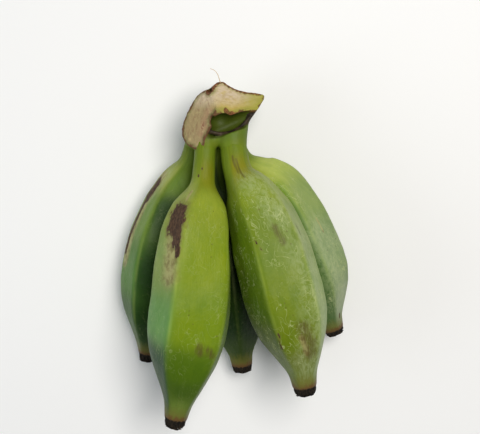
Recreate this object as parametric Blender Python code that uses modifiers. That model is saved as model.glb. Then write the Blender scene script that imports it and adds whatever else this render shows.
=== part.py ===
"""A hand of five green cooking bananas on one cut crown, lying on its lower row.

Metres, +Z up. The fingers point to -Y, the cut crown is at +Y, and the three
lower fingers rest on the floor with the two upper ones lying in their gaps.
"""
import math

import bmesh
import bpy
from mathutils import Matrix, Vector

MM = 0.001

# ---- the hand ---------------------------------------------------------------
RIDGES = 5                 # a cooking banana has five blunt ridges
CAGE_SIDES = 2 * RIDGES    # one cage point on each ridge, one in each face
SUBDIV = 1
RIDGE_LIFT = 1.12          # ridges stand this far out of the mean girth
FACE_DROP = 0.945          # and the faces between them lie this far in
CAGE_SWELL = 1.055         # subdivision draws the cage in by this much
GAP = 0.3 * MM             # between the crown and each finger stalk
JOINT_POINT = (0.0, -9.0)  # plan point of the plane the stalks leave from
JOINT_YAW = 8.0            # degrees that plane is turned about Z
STUB_LENGTH = 4.5          # the dried flower end, black
# All the places below are from the crown; this moves the hand over its middle.
SHIFT = (-5.0, 67.35, 0.0)

# Each finger: centreline from inside the crown to the flower end, millimetres,
# largest mean radius, degrees of roll of one face from straight up, and the
# shares of length and of radius that shape stalk, shoulder, belly and tip.
FINGERS = {
    "finger_upper_left": dict(
        line=[(-10, 4, 43), (-12, -30, 50.5), (-15.1, -58, 58), (-17.6, -98, 61.5),
              (-23, -135, 61), (-27.5, -159, 59)],
        radius=21.2, roll=17, stalk=0.27, shoulder=0.185, swell=1.47, widest=0.62,
        tip=0.27),
    "finger_upper_right": dict(
        line=[(3.2, 4, 44), (6.2, -20, 50), (13.5, -34, 54), (22.4, -54, 58.5),
              (32.5, -90, 61.5), (40, -120, 60), (43.5, -141, 58)],
        radius=21.2, roll=8, stalk=0.34, shoulder=0.165, swell=1.2, widest=0.64,
        tip=0.29),
    "finger_lower_left": dict(
        line=[(-14.2, 4, 29), (-18.5, -16, 26), (-27, -36, 20.2), (-36.5, -70, 21.8),
              (-41, -103, 20.8), (-46.5, -133, 17)],
        radius=20.8, roll=-5, stalk=0.30, shoulder=0.15, swell=1.0, widest=0.67,
        tip=0.22),
    "finger_lower_middle": dict(
        line=[(-5.5, 4, 23), (-5.5, -22, 22), (-0.6, -45, 17.3), (3.5, -78, 17.9),
              (6.4, -112, 17.0), (9.5, -140, 15)],
        radius=18.2, roll=36, stalk=0.30, shoulder=0.24, swell=1.0, widest=0.66,
        tip=0.31),
    "finger_lower_right": dict(
        line=[(2.5, 4, 29), (6.5, -13.5, 26), (15, -25, 21.8), (28.2, -37, 20.2),
              (40.5, -62, 21.4), (52, -90, 20.4), (63, -117, 17)],
        radius=20.8, roll=-13, stalk=0.29, shoulder=0.15, swell=1.3, widest=0.68,
        tip=0.27),
}

# ---- the crown --------------------------------------------------------------
# Plan of the cushion, millimetres, counterclockwise from the front.
CROWN_PLAN = [(-8.5, -7.0), (-3.0, -7.5), (4.0, -7.5), (9.0, -3.0), (12.5, 4.0),
              (18.2, 12.0), (22.2, 18.4), (15.5, 21.0), (7.0, 23.2), (-1.0, 26.6),
              (-8.0, 24.2), (-13.5, 20.5), (-18.5, 13.0), (-22.5, 5.0), (-24.5, -2.0),
              (-21.5, -8.5), (-17.0, -11.0), (-12.5, -9.5)]
CROWN_CENTRE = (-3.0, 3.0)
# Cushion rings from the floor side up: height and share of the plan.
CROWN_LEVELS = [(16.5, 0.52), (18.5, 0.80), (24.0, 0.95), (33.0, 1.0),
                (44.0, 1.0), (60.0, 1.0)]
# Two knife cuts: a point on each and the direction each cut face looks.
CUT_LEFT = ((-6.0, 7.5, 52.5), (-0.55, 0.20, 0.81))
CUT_RIGHT = ((0.0, 10.0, 52.5), (0.25, 0.60, 0.76))
# The hollow in front of the cut lip.
HOLLOW_CENTRE = (4.0, 4.1, 49.5)
HOLLOW_RADII = (15.0, 5.6, 6.5)
HOLLOW_YAW = 24.0
# The front skin falls away to the right of the left cut.
BROW = ((-10.9, -2.3, 51.6), (0.30, -0.50, 0.81))
# The scar of the old bract, a low rib along the front of the hollow.
SCAR_LINE = [(-12.0, 1.2, 50.5), (-7.5, -1.0, 50.0), (-1.0, -1.9, 49.0),
             (5.5, -0.3, 47.8), (11.0, 4.2, 46.0), (17.5, 12.6, 43.4)]
SCAR_RADIUS = 1.2
COLLAR_LENGTH = 8.0        # stalk collars that grow out of the cushion
COLLAR_SPREAD = 1.25

SKIN = (0.20, 0.29, 0.035)
CUT = (0.36, 0.28, 0.13)

for old in list(bpy.data.objects):
    bpy.data.objects.remove(old, do_unlink=True)

parts = bpy.data.collections.new("banana_hand")
cutters = bpy.data.collections.new("cutters")
bpy.context.scene.collection.children.link(parts)
bpy.context.scene.collection.children.link(cutters)


def material(name, colour, roughness):
    made = bpy.data.materials.new(name)
    made.use_nodes = True
    shader = made.node_tree.nodes["Principled BSDF"]
    shader.inputs["Base Color"].default_value = (*colour, 1.0)
    shader.inputs["Roughness"].default_value = roughness
    made.diffuse_color = (*colour, 1.0)
    return made


def put(name, bm, collection, mat=None, smooth=True):
    bmesh.ops.recalc_face_normals(bm, faces=bm.faces[:])
    bmesh.ops.translate(bm, verts=bm.verts, vec=Vector(SHIFT) * MM)
    for face in bm.faces:
        face.smooth = smooth
    mesh = bpy.data.meshes.new(name)
    bm.to_mesh(mesh)
    bm.free()
    made = bpy.data.objects.new(name, mesh)
    collection.objects.link(made)
    if mat:
        mesh.materials.append(mat)
    if collection == cutters:
        made.hide_render = True
        made.display_type = "WIRE"
    return made


def subdivide(made, levels):
    mod = made.modifiers.new("subdivision", "SUBSURF")
    mod.levels = levels
    mod.render_levels = levels


def boolean(made, tool, operation):
    mod = made.modifiers.new(operation.lower() + "_" + tool.name, "BOOLEAN")
    mod.operation = operation
    mod.solver = "EXACT"
    mod.object = tool


def grow(bm, cap, inner):
    """Extrude an end face, dropping the old one once it lies inside."""
    grown = bmesh.ops.extrude_face_region(bm, geom=[cap])["geom"]
    if inner:
        bmesh.ops.delete(bm, geom=[cap], context="FACES_ONLY")
    return [g for g in grown if isinstance(g, bmesh.types.BMFace)][0]


def spline_at(points, share):
    """Point and heading of a smooth curve through the points, by share."""
    spans = len(points) - 1
    place = min(share, 0.999999) * spans
    i = int(place)
    t = place - i
    p1 = Vector(points[i])
    p2 = Vector(points[i + 1])
    p0 = Vector(points[i - 1]) if i else p1 * 2 - p2
    p3 = Vector(points[i + 2]) if i + 2 <= spans else p2 * 2 - p1
    a = p1 * 2
    b = p2 - p0
    c = p0 * 2 - p1 * 5 + p2 * 4 - p3
    d = p1 * 3 - p0 - p2 * 3 + p3
    point = (a + b * t + c * t * t + d * t ** 3) * 0.5
    heading = (b + c * 2 * t + d * 3 * t * t) * 0.5
    return point, heading.normalized()


def by_length(points, wanted, steps=200):
    """The spline share and total length at a wanted share of length."""
    walked = [0.0]
    last = spline_at(points, 0)[0]
    for i in range(1, steps + 1):
        here = spline_at(points, i / steps)[0]
        walked.append(walked[-1] + (here - last).length)
        last = here
    goal = wanted * walked[-1]
    for i in range(steps):
        if walked[i + 1] >= goal:
            break
    t = (goal - walked[i]) / (walked[i + 1] - walked[i])
    return (i + t) / steps, walked[-1]


def stations(spec):
    """Share of length, share of radius and squareness of each cage ring."""
    start, top, stalk, tip = spec["shoulder"], spec["widest"], spec["stalk"], spec["tip"]
    rise, fall = top - start, 1 - top
    full = 1 / spec["swell"]   # a fuller shoulder swells sooner
    length = by_length(spec["line"], 1)[1]
    stub = STUB_LENGTH / length
    return [
        (0.0, stalk, 0.0),
        (start * 0.6, stalk, 0.0),
        (start + rise * 0.06, stalk + 0.05 * (1 - stalk), 0.1),
        (start + rise * 0.20, stalk + 0.38 ** full * (1 - stalk), 0.6),
        (start + rise * 0.38, stalk + 0.68 ** full * (1 - stalk), 1.0),
        (start + rise * 0.66, stalk + 0.93 ** full * (1 - stalk), 1.0),
        (top, 1.0, 1.0),
        (top + fall * 0.22, 0.965, 1.0),
        (top + fall * 0.43, 0.82, 1.0),
        (top + fall * 0.63, 0.575, 0.9),
        (top + fall * 0.80, 0.36, 0.5),
        (1 - stub * 1.25, tip + 0.03, 0.2),
        (1 - stub * 1.0, tip + 0.015, 0.1),
        (1 - stub * 0.9, tip - 0.01, 0.0),
        (1.0, tip - 0.02, 0.0),
    ]


def finger(name, spec, mat):
    """One banana: a round cage drawn along its centreline ring by ring."""
    bm = bmesh.new()
    bmesh.ops.create_circle(bm, cap_ends=True, segments=CAGE_SIDES, radius=1.0)
    bm.faces.ensure_lookup_table()
    cap = bm.faces[0]
    for number, (share, girth, ridged) in enumerate(stations(spec)):
        if number:
            cap = grow(bm, cap, number > 1)
        place, _ = by_length(spec["line"], share)
        centre, heading = spline_at(spec["line"], place)
        up = (Vector((0, 0, 1)) - heading * heading.z).normalized()
        side = up.cross(heading)
        for i, vert in enumerate(cap.verts):
            angle = math.radians(spec["roll"]) + math.tau * i / CAGE_SIDES
            shape = RIDGE_LIFT if i % 2 else FACE_DROP
            shape = 1 + (shape - 1) * ridged
            radius = spec["radius"] * girth * shape * CAGE_SWELL
            out = up * math.cos(angle) + side * math.sin(angle)
            vert.co = (centre + out * radius) * MM
    bmesh.ops.inset_region(bm, faces=[cap], thickness=1.4 * MM, depth=-1.0 * MM)
    made = put(name, bm, parts, mat)
    subdivide(made, SUBDIV)
    return made


def slab(name, point, facing, size=90.0):
    """A thick block whose near face passes through the point."""
    bm = bmesh.new()
    bmesh.ops.create_cube(bm, size=size * MM)
    turn = Vector(facing).to_track_quat("Z", "Y").to_matrix().to_4x4()
    bmesh.ops.translate(bm, verts=bm.verts, vec=(0, 0, size * 0.5 * MM))
    bmesh.ops.transform(bm, verts=bm.verts, matrix=turn)
    bmesh.ops.translate(bm, verts=bm.verts, vec=Vector(point) * MM)
    return put(name, bm, cutters, smooth=False)


def cushion(name, mat):
    bm = bmesh.new()
    bmesh.ops.create_circle(bm, cap_ends=True, segments=len(CROWN_PLAN), radius=1.0)
    bm.faces.ensure_lookup_table()
    cap = bm.faces[0]
    for number, (height, share) in enumerate(CROWN_LEVELS):
        if number:
            cap = grow(bm, cap, number > 1)
        for vert, (x, y) in zip(cap.verts, CROWN_PLAN):
            across = CROWN_CENTRE[0] + (x - CROWN_CENTRE[0]) * share
            along = CROWN_CENTRE[1] + (y - CROWN_CENTRE[1]) * share
            vert.co = Vector((across, along, height)) * MM
    made = put(name, bm, parts, mat)
    subdivide(made, 2)
    return made


def collar(name, spec):
    """A short cone that carries a finger stalk out of the cushion."""
    root = Vector(spec["line"][0])
    heading = (Vector(spec["line"][1]) - root).normalized()
    small = spec["radius"] * spec["stalk"] * 1.0
    bm = bmesh.new()
    bmesh.ops.create_cone(bm, cap_ends=True, segments=20, depth=COLLAR_LENGTH * 2 * MM,
                          radius1=small * COLLAR_SPREAD * MM, radius2=small * MM)
    turn = heading.to_track_quat("Z", "Y").to_matrix().to_4x4()
    bmesh.ops.transform(bm, verts=bm.verts, matrix=turn)
    middle = root + heading * 8.0
    bmesh.ops.translate(bm, verts=bm.verts, vec=middle * MM)
    return put(name, bm, cutters)


def scar_rib(name):
    curve = bpy.data.curves.new(name, "CURVE")
    curve.dimensions = "3D"
    curve.bevel_depth = SCAR_RADIUS * MM
    curve.bevel_resolution = 1
    curve.resolution_u = 3
    curve.use_fill_caps = True
    line = curve.splines.new("BEZIER")
    line.bezier_points.add(len(SCAR_LINE) - 1)
    for knot, place in zip(line.bezier_points, SCAR_LINE):
        knot.co = Vector(place) * MM
        knot.handle_left_type = "AUTO"
        knot.handle_right_type = "AUTO"
    drawn = bpy.data.objects.new(name + "_curve", curve)
    cutters.objects.link(drawn)
    bpy.context.view_layer.update()
    seen = drawn.evaluated_get(bpy.context.evaluated_depsgraph_get())
    bm = bmesh.new()
    bm.from_mesh(seen.to_mesh())
    bmesh.ops.remove_doubles(bm, verts=bm.verts, dist=0.00001)
    bpy.data.objects.remove(drawn, do_unlink=True)
    return put(name, bm, cutters)


skin = material("green_skin", SKIN, 0.42)
flesh = material("cut_crown", CUT, 0.70)

yaw = math.radians(JOINT_YAW)
front = Vector((math.sin(yaw), -math.cos(yaw), 0.0))
joint = Vector((*JOINT_POINT, 40.0))
behind = slab("behind_joint", joint + front * GAP / MM, -front, 120.0)
ahead = slab("ahead_of_joint", joint, front, 120.0)

for label, spec in FINGERS.items():
    banana = finger(label, spec, skin)
    boolean(banana, behind, "DIFFERENCE")

crown = cushion("crown", flesh)
boolean(crown, slab("brow", *BROW), "DIFFERENCE")
for label, spec in FINGERS.items():
    boolean(crown, collar("collar_" + label, spec), "UNION")

bm = bmesh.new()
bmesh.ops.create_uvsphere(bm, u_segments=24, v_segments=14, radius=1.0)
bmesh.ops.scale(bm, verts=bm.verts, vec=Vector(HOLLOW_RADII) * MM)
bmesh.ops.rotate(bm, verts=bm.verts, matrix=Matrix.Rotation(math.radians(HOLLOW_YAW), 3, "Z"))
bmesh.ops.translate(bm, verts=bm.verts, vec=Vector(HOLLOW_CENTRE) * MM)
hollow = put("hollow", bm, cutters)
boolean(crown, hollow, "DIFFERENCE")
boolean(crown, scar_rib("scar_rib"), "UNION")
boolean(crown, slab("knife_left", *CUT_LEFT), "DIFFERENCE")
boolean(crown, slab("knife_right", *CUT_RIGHT), "DIFFERENCE")
boolean(crown, ahead, "DIFFERENCE")
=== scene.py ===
import math

import bmesh
import bpy
import numpy as np
from mathutils import Matrix, Vector, kdtree, noise


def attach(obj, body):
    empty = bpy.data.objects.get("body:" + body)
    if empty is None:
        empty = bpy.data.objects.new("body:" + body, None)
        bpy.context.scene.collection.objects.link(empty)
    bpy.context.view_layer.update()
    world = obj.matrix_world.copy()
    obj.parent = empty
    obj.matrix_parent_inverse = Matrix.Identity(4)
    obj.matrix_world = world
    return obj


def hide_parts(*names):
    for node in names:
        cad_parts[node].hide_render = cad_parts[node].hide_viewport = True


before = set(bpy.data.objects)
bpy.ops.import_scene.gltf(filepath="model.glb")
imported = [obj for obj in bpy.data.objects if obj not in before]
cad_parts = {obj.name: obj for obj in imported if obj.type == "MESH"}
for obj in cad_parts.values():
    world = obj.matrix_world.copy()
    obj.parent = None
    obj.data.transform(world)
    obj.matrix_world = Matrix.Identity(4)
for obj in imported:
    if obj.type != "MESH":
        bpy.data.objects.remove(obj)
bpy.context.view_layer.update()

MM = 0.001

# ---- sizes and places, millimetres from the crown ------------------------------
SHIFT = Vector((-5.0, 67.35, 0.0))   # from the crown's own middle to the frame's

SIDES = 96                 # points round a finger
STEP = 1.15                # between rings on the body
FINE_STEP = 0.45           # between rings at the dried flower end
STUB = 4.5                 # dried flower end that the peel's browning is set for
FINE_REACH = 9.0           # length at the flower end that has the fine rings
RIDGE_POWER = 15.0         # higher gives sharper ridges
SECTION_SCALE = 1.125      # brings the five-sided section's mean radius back to 1
RIDGE_REACH = 30.0         # degrees over which a ridge fades into its faces
DRIFT_X, DRIFT_Y = 7.3, 3.1  # each seed shifts the unevenness by this much
SLOW_UNEVEN = (17.0, 0.35)  # wave and height of the body's slow unevenness
FINE_UNEVEN = (4.0, 0.10)
TUCK_UNEVEN = (4.0, 1.6)   # wave and reach of the ragged line at the crown
STUB_ROUGH = ((2.6, 0.55), (1.1, 0.25))  # waves and heights on the dried end
STUB_SHRINK = 0.55
STUB_EASE = 1.2            # the dried end shrinks over this length
BULGE_WIDTH = 45.0         # degrees round over which a bulge fades
TUCK = 0.16                # share by which the peel draws in under the collar
END_RIM, END_DISH, END_DEPTH = 1.3, 1.2, -1.1   # the dished face of the dried end
TINT_SOFT = 40.0           # higher blends neighbouring tints more
TINT_TURN = 60.0           # higher lets a tint reach farther round

# Each finger's centreline from inside the crown to the flower end and its largest
# mean radius; the shares that shape stalk, shoulder, belly and tip, where a higher
# swell fills the shoulder sooner; bulges as (length, degrees, height, reach); where
# its ridges run, in degrees round from straight up toward +X, and how far they twist;
# how rubbed its peel is and how long its dried end; tints as (length along, degrees
# round, colour 0 to 255), peel colour with painted light and shade in it, darker
# where a finger lies in shade and paler where a face is lit; and marks as (kind,
# half width, (length, degrees) points).
FINGERS = {
    "finger_upper_left": dict(
        line=[(-10, 4, 43), (-12, -30, 50.5), (-15.1, -58, 58), (-17.6, -98, 61.5),
              (-23, -135, 61), (-27.5, -159, 59)],
        radius=21.2, stalk=0.27, shoulder=0.185, swell=1.47, widest=0.62, tip=0.27,
        bulges=[(122, -80, 1.9, 24)],
        ridges=(-22, 54, 124, 194, 266), twist=-14, seed=3, scratched=0.35, stub=4.5,
        # Tints at 132 and 146 along are painted shade where the finger turns down from
        # the light; the bluish -55 and -58 degree tints are part waxy bloom, part painted
        # sky reflection.
        tints_with_painted_light=[(28, 15, (118, 122, 18)), (34, 15, (120, 124, 20)),
               (41, 15, (144, 160, 50)), (44, -55, (142, 154, 62)),
               (75, 15, (124, 142, 12)), (75, -58, (132, 152, 78)),
               (75, 85, (118, 140, 40)), (108, 15, (114, 136, 12)),
               (108, -58, (106, 150, 80)), (132, 15, (74, 102, 10)),
               (132, -58, (38, 72, 40)), (146, 15, (54, 80, 8)),
               (146, -58, (48, 76, 40)), (152, 15, (104, 124, 50)),
               (108, 85, (100, 126, 40))],
        marks=[("bruise", 7.6, (54, -47), (58, -45)),
               ("bruise", 4.4, (61, -37), (65, -33)),
               ("bruise", 2.0, (66, -29), (72, -26)),
               ("tan", 8.5, (62, -46), (70, -42), (82, -40)),
               ("smudge", 2.4, (117, 20), (120, 22)),
               ("smudge", 2.0, (118, 34), (121, 42)),
               ("bruise", 0.6, (30, -25), (31, -24)),
               ("bruise", 0.5, (26, -8), (27, -8)), ("tan", 1.2, (40, -30), (46, -33))]),
    "finger_upper_right": dict(
        line=[(3.2, 4, 44), (6.2, -20, 50), (13.5, -34, 54), (22.4, -54, 58.5),
              (32.5, -90, 61.5), (40, -120, 60), (43.5, -141, 58)],
        radius=21.2, stalk=0.34, shoulder=0.165, swell=1.2, widest=0.64, tip=0.29,
        ridges=(-23, 42, 112, 184, 260), twist=-3, seed=11, scratched=1.0, stub=3.8,
        # The -60 degree tints are painted shade on the left face beside the upper left
        # finger; the pale 77 degree tints are part whitish bloom, part painted light on
        # the right face.
        tints_with_painted_light=[(26, 10, (128, 126, 22)), (26, 77, (128, 134, 36)),
               (42, 10, (124, 141, 34)), (42, 77, (148, 162, 76)),
               (65, 10, (104, 124, 26)), (65, -60, (98, 122, 20)),
               (65, 77, (142, 156, 92)), (95, 10, (108, 126, 12)),
               (95, -60, (90, 114, 22)), (95, 77, (138, 158, 90)),
               (118, 10, (106, 122, 16)), (118, 77, (132, 154, 92)),
               (118, -60, (86, 102, 24)), (134, 10, (106, 116, 44)),
               (134, 77, (120, 138, 76))],
        marks=[("smudge", 2.0, (63, 15), (71, 20)), ("smudge", 1.2, (65, 54), (69, 56)),
               ("smudge", 0.8, (20, -8), (30, 2)), ("smudge", 0.7, (22, 6), (34, 13)),
               ("bruise", 0.5, (65, -21), (68, -18)),
               ("bruise", 0.5, (70, -16), (72, -13)), ("bruise", 0.6, (53, 2), (53, 3)),
               ("bruise", 0.65, (113, -23), (122, -27)),
               ("smudge", 4.2, (113, 16), (121, 21), (128, 24)),
               ("tan", 2.0, (118, 10), (128, 16)), ("bloom", 7.0, (38, 20), (58, 34)),
               ("bloom", 12.0, (75, 62), (130, 52)),
               ("bloom", 8.0, (120, 34), (136, 20))]),
    "finger_lower_left": dict(
        line=[(-14.2, 4, 29), (-18.5, -16, 26), (-27, -36, 20.2), (-36.5, -70, 21.8),
              (-41, -103, 20.8), (-46.5, -133, 17)],
        radius=20.8, stalk=0.3, shoulder=0.15, swell=1.0, widest=0.67, tip=0.22,
        ridges=(-31, 41, 113, 185, 257), twist=0, seed=23, scratched=0.2, stub=4.0,
        # The dark tints at 5 and 77 degrees are painted shadow cast by the upper left
        # finger.
        tints_with_painted_light=[(20, 5, (84, 108, 30)), (34, -67, (152, 160, 84)),
               (34, 5, (96, 122, 36)), (60, -67, (112, 140, 58)), (55, 5, (40, 70, 16)),
               (60, 77, (36, 64, 14)), (90, -67, (84, 126, 48)), (90, 5, (26, 56, 12)),
               (90, 77, (30, 58, 12)), (118, -67, (52, 88, 32)), (118, 5, (30, 58, 16)),
               (130, -67, (70, 92, 40))],
        marks=[("bruise", 4.0, (42, -78), (50, -82)),
               ("bruise", 1.8, (50, -86), (82, -93)),
               ("tan", 5.0, (38, -76), (60, -82), (86, -88)),
               ("bloom", 3.0, (34, -60), (50, -66))]),
    "finger_lower_middle": dict(
        line=[(-5.5, 4, 23), (-5.5, -22, 22), (-0.6, -45, 17.3), (3.5, -78, 17.9),
              (6.4, -112, 17.0), (9.5, -140, 15)],
        radius=18.2, stalk=0.3, shoulder=0.24, swell=1.0, widest=0.66, tip=0.31,
        ridges=(0, 72, 144, 216, 288), twist=3, seed=31, scratched=0.1, stub=3.2,
        # All of this finger's near-black tints are painted shade: it lies under the upper
        # fingers.
        tints_with_painted_light=[(18, 0, (36, 50, 10)), (24, 0, (24, 38, 6)), (32, 0, (22, 38, 6)),
               (50, 36, (20, 38, 6)), (50, -36, (20, 38, 6)), (85, 36, (18, 40, 8)),
               (85, -36, (16, 36, 6)), (115, 36, (26, 50, 12)),
               (115, -36, (22, 46, 10)), (130, 0, (50, 68, 22))],
        marks=[("tan", 1.2, (70, 10), (82, 14))]),
    "finger_lower_right": dict(
        line=[(2.5, 4, 29), (6.5, -13.5, 26), (15, -25, 21.8), (28.2, -37, 20.2),
              (40.5, -62, 21.4), (52, -90, 20.4), (63, -117, 17)],
        radius=20.8, stalk=0.29, shoulder=0.15, swell=1.3, widest=0.68, tip=0.27,
        ridges=(22, 94, 166, 238, 310), twist=2, seed=47, scratched=0.8, stub=2.0,
        # The very bright tints at 36 along are painted light on the right shoulder; the
        # darker -14 degree tints are painted shade beside the upper right finger.
        tints_with_painted_light=[(24, 0, (120, 136, 46)), (36, 10, (182, 192, 84)),
               (48, -7, (120, 150, 48)), (36, 65, (178, 190, 90)),
               (60, 62, (140, 158, 88)), (66, -14, (76, 112, 32)),
               (90, 55, (138, 156, 110)), (92, -14, (62, 98, 30)),
               (90, 80, (134, 152, 100)), (120, 62, (136, 150, 114)),
               (116, -14, (66, 98, 44))],
        marks=[("bruise", 0.9, (128, 48), (130, 48)), ("tan", 1.0, (72, 50), (80, 52)),
               ("bloom", 9.0, (78, 40), (115, 40))]),
}


# Plan of the crown's cushion, counterclockwise from the front.
CROWN_PLAN = [(-8.5, -7.0), (-3.0, -7.5), (4.0, -7.5), (9.0, -3.0), (12.5, 4.0),
              (18.0, 11.5), (21.4, 16.9), (22.3, 18.9), (20.4, 19.2), (14.5, 19.8),
              (7.0, 21.0), (1.6, 23.6), (-2.4, 27.2), (-5.8, 24.6), (-8.6, 21.4),
              (-13.5, 20.9), (-18.5, 13.6), (-22.5, 5.0),
              (-24.5, -2.0), (-21.5, -8.0), (-17.0, -10.5), (-12.5, -9.5)]
CROWN_CENTRE = (-3.0, 3.0)
CROWN_LEVELS = [(16.5, 0.52), (18.5, 0.80), (24.0, 0.95), (33.0, 1.0),
                (44.0, 1.0), (60.0, 1.0)]
# Two knife cuts, the left one a little deeper, with a torn step between them.
CUT_LEFT = ((-6.0, 7.5, 51.6), (-0.55, 0.20, 0.81))
CUT_RIGHT = ((0.0, 10.0, 52.5), (0.25, 0.60, 0.76))
STEP_LINE = ((-4.4, 9.0), (-7.6, 22.0))
NOTCH = ((-8.2, 21.4, 48.0), (1.3, 1.9, 9.0))
NOTCH_YAW = -20.0
BLOCK = 80.0               # side of the blocks that a knife's cut takes away
BROW = ((-10.9, -2.3, 51.6), (0.30, -0.50, 0.81))
WEB = ((-3.2, -3.8, 43.6), (6.5, 5.0, 6.5))   # joins the two upper stalks
HOLLOW_CENTRE = (4.6, 3.6, 49.5)
HOLLOW_RADII = (15.0, 4.4, 6.5)
HOLLOW_YAW = 24.0
HOLLOW_END = ((-2.0, 4.5, 50.0), (6.0, 5.4, 6.0))
LIP_LINE = [(0.2, 9.7), (4.0, 8.3), (8.2, 7.6), (10.2, 8.6)]   # browned cut lip
TEAR_LINE = [(-9.4, 20.4), (-8.4, 20.4), (-6.4, 22.6), (-4.2, 25.4), (-1.5, 26.2),
             (2.0, 23.9), (7.5, 21.2), (13.0, 20.1), (18.5, 19.6)]
SCAR_LINE = [(-12.0, 1.2, 50.5), (-7.5, -1.0, 50.0), (-1.0, -1.9, 49.0),
             (5.5, -0.3, 47.8), (11.0, 4.2, 46.0), (17.5, 12.6, 43.4)]
SCAR_RADIUS = 1.15
LIMB_BLEND = 7.0           # width over which the two cut faces share their looks
CUT_SKIN = 0.42            # nearer than this to a knife's plane is cut flesh
HOLLOW_EDGE = 1.35         # the hollow's colour reaches this much past its shape
CUT_RELIEF = ((3.8, 0.34), (1.1, 0.13))   # waves and heights of the torn flesh
THREAD_RELIEF = 0.12
RIM_RELIEF = (1.6, 0.35, 1.2)   # wave, depth and width of the curled edge
FLUSH_LINE = [(-11.8, -1.5), (-10.2, 3.5), (-8.0, 9.5)]   # reddish threads
FIBRE_PATH = [(-2.6, 25.4, 45.2), (-3.2, 27.4, 46.4), (-4.0, 29.6, 47.4),
              (-5.6, 31.6, 48.2), (-8.0, 32.6, 48.6)]
FIBRE_SIDES, FIBRE_STEPS = 8, 24
STALK_START = 9.0          # the peel starts this far along, inside the crown
STALK_MEETS = 13.5         # and here the crown's collar dips under it
COLLAR_SIDES = 32
COLLAR_PAST = 4.0          # how far the collar runs on under the peel
COLLAR_OVER = 0.12         # how far it stands over the stalk
ROOT_SPREAD, DIP = 0.34, 0.20   # shares it widens at its root and dips at its end
UNDERSIDE = (104, 128, 52)  # colour of the peel away from the light
MARK_KINDS = ("bruise", "tan", "smudge", "bloom")
SHINE = 0.15               # how strongly the waxy peel reflects
SEAM = (104, 123, 26)       # stalk colour where it leaves the crown


# ---- shapes ---------------------------------------------------------------------
def disc(bm, sides):
    """The first face of a solid that is then drawn ring by ring."""
    bmesh.ops.create_circle(bm, cap_ends=True, segments=sides, radius=1.0)
    bm.faces.ensure_lookup_table()
    return bm.faces[0]


def grow(bm, cap, inner):
    """Extrude an end face, dropping the old one once it lies inside."""
    grown = bmesh.ops.extrude_face_region(bm, geom=[cap])["geom"]
    if inner:
        bmesh.ops.delete(bm, geom=[cap], context="FACES_ONLY")
    return [g for g in grown if isinstance(g, bmesh.types.BMFace)][0]


def spline_at(points, share):
    """A point of the smooth curve through the points."""
    spans = len(points) - 1
    place = min(share, 0.999999) * spans
    i = int(place)
    t = place - i
    p1, p2 = Vector(points[i]), Vector(points[i + 1])
    p0 = Vector(points[i - 1]) if i else p1 * 2 - p2
    p3 = Vector(points[i + 2]) if i + 2 <= spans else p2 * 2 - p1
    return (p1 * 2 + (p2 - p0) * t + (p0 * 2 - p1 * 5 + p2 * 4 - p3) * t * t
            + (p1 * 3 - p0 - p2 * 3 + p3) * t ** 3) * 0.5


def eased(values, width):
    """Each value averaged with its neighbours over a window."""
    kernel = np.hanning(width)
    kernel /= kernel.sum()
    return np.convolve(np.pad(values, width // 2, mode="edge"), kernel, mode="valid")


class Centreline:
    """Places and headings along a finger by length."""

    def __init__(self, points, steps=600):
        self.places = np.array([spline_at(points, i / steps) for i in range(steps + 1)])
        hops = np.linalg.norm(np.diff(self.places, axis=0), axis=1)
        self.walked = np.concatenate([[0.0], np.cumsum(hops)])
        self.length = float(self.walked[-1])
        slopes = np.gradient(self.places, axis=0)
        self.slopes = np.stack([eased(slopes[:, k], 41) for k in range(3)], axis=1)

    def at(self, along):
        place = Vector([np.interp(along, self.walked, self.places[:, k])
                        for k in range(3)])
        heading = Vector([np.interp(along, self.walked, self.slopes[:, k])
                          for k in range(3)]).normalized()
        up = (Vector((0, 0, 1)) - heading * heading.z).normalized()
        return place, heading, up, up.cross(heading)


class Girth:
    """Radius share and ridge strength along a finger, eased between stations."""

    def __init__(self, spec, length):
        start, top, stalk = spec["shoulder"], spec["widest"], spec["stalk"]
        tip = spec["tip"]
        rise, fall = top - start, 1 - top
        full = 1 / spec["swell"]      # a fuller shoulder swells sooner
        stations = [
            (0.0, stalk, 0.0), (start * 0.6, stalk, 0.0),
            (start + rise * 0.05, stalk + 0.04 * (1 - stalk), 0.12),
            (start + rise * 0.20, stalk + 0.40 ** full * (1 - stalk), 0.65),
            (start + rise * 0.38, stalk + 0.69 ** full * (1 - stalk), 1.0),
            (start + rise * 0.66, stalk + 0.935 ** full * (1 - stalk), 1.0),
            (top, 1.0, 1.0), (top + fall * 0.22, 0.965, 1.0),
            (top + fall * 0.43, 0.825, 1.0), (top + fall * 0.63, 0.58, 0.9),
            (top + fall * 0.80, 0.365, 0.55), (top + fall * 0.92, tip + 0.03, 0.25),
            (1.0, tip, 0.1)]
        shares, girths, ridged = zip(*stations)
        fine = np.linspace(0, 1, 801)
        self.along = fine * length
        self.tables = [eased(np.interp(fine, shares, values), 61)
                       for values in (girths, ridged)]

    def at(self, along):
        return [float(np.interp(along, self.along, table)) for table in self.tables]


def five_sided(angle, ridges):
    """Radius of the blunt five-ridged section, about 1 on average."""
    total = 0.0
    for k, ridge in enumerate(ridges):
        after = ridges[(k + 1) % len(ridges)] + (360 if k + 1 == len(ridges) else 0)
        middle = math.radians((ridge + after) / 2)
        flat = math.cos(math.radians((after - ridge) / 2))
        facing = math.cos(angle - middle)
        if facing > 0:
            total += (facing / flat) ** RIDGE_POWER
    return total ** (-1 / RIDGE_POWER) * SECTION_SCALE


def ridge_nearness(angle, ridges):
    """1 on a ridge, falling to 0 in the middle of a face."""
    gaps = [abs((math.degrees(angle) - r + 180) % 360 - 180) for r in ridges]
    return max(0.0, 1 - min(gaps) / RIDGE_REACH)


def paint(red, green, blue):
    """A colour chip, 0 to 255, as the light values that a shader mixes."""
    return [((c / 255 + 0.055) / 1.055) ** 2.4 if c > 10 else c / 3295
            for c in (red, green, blue)]


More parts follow.
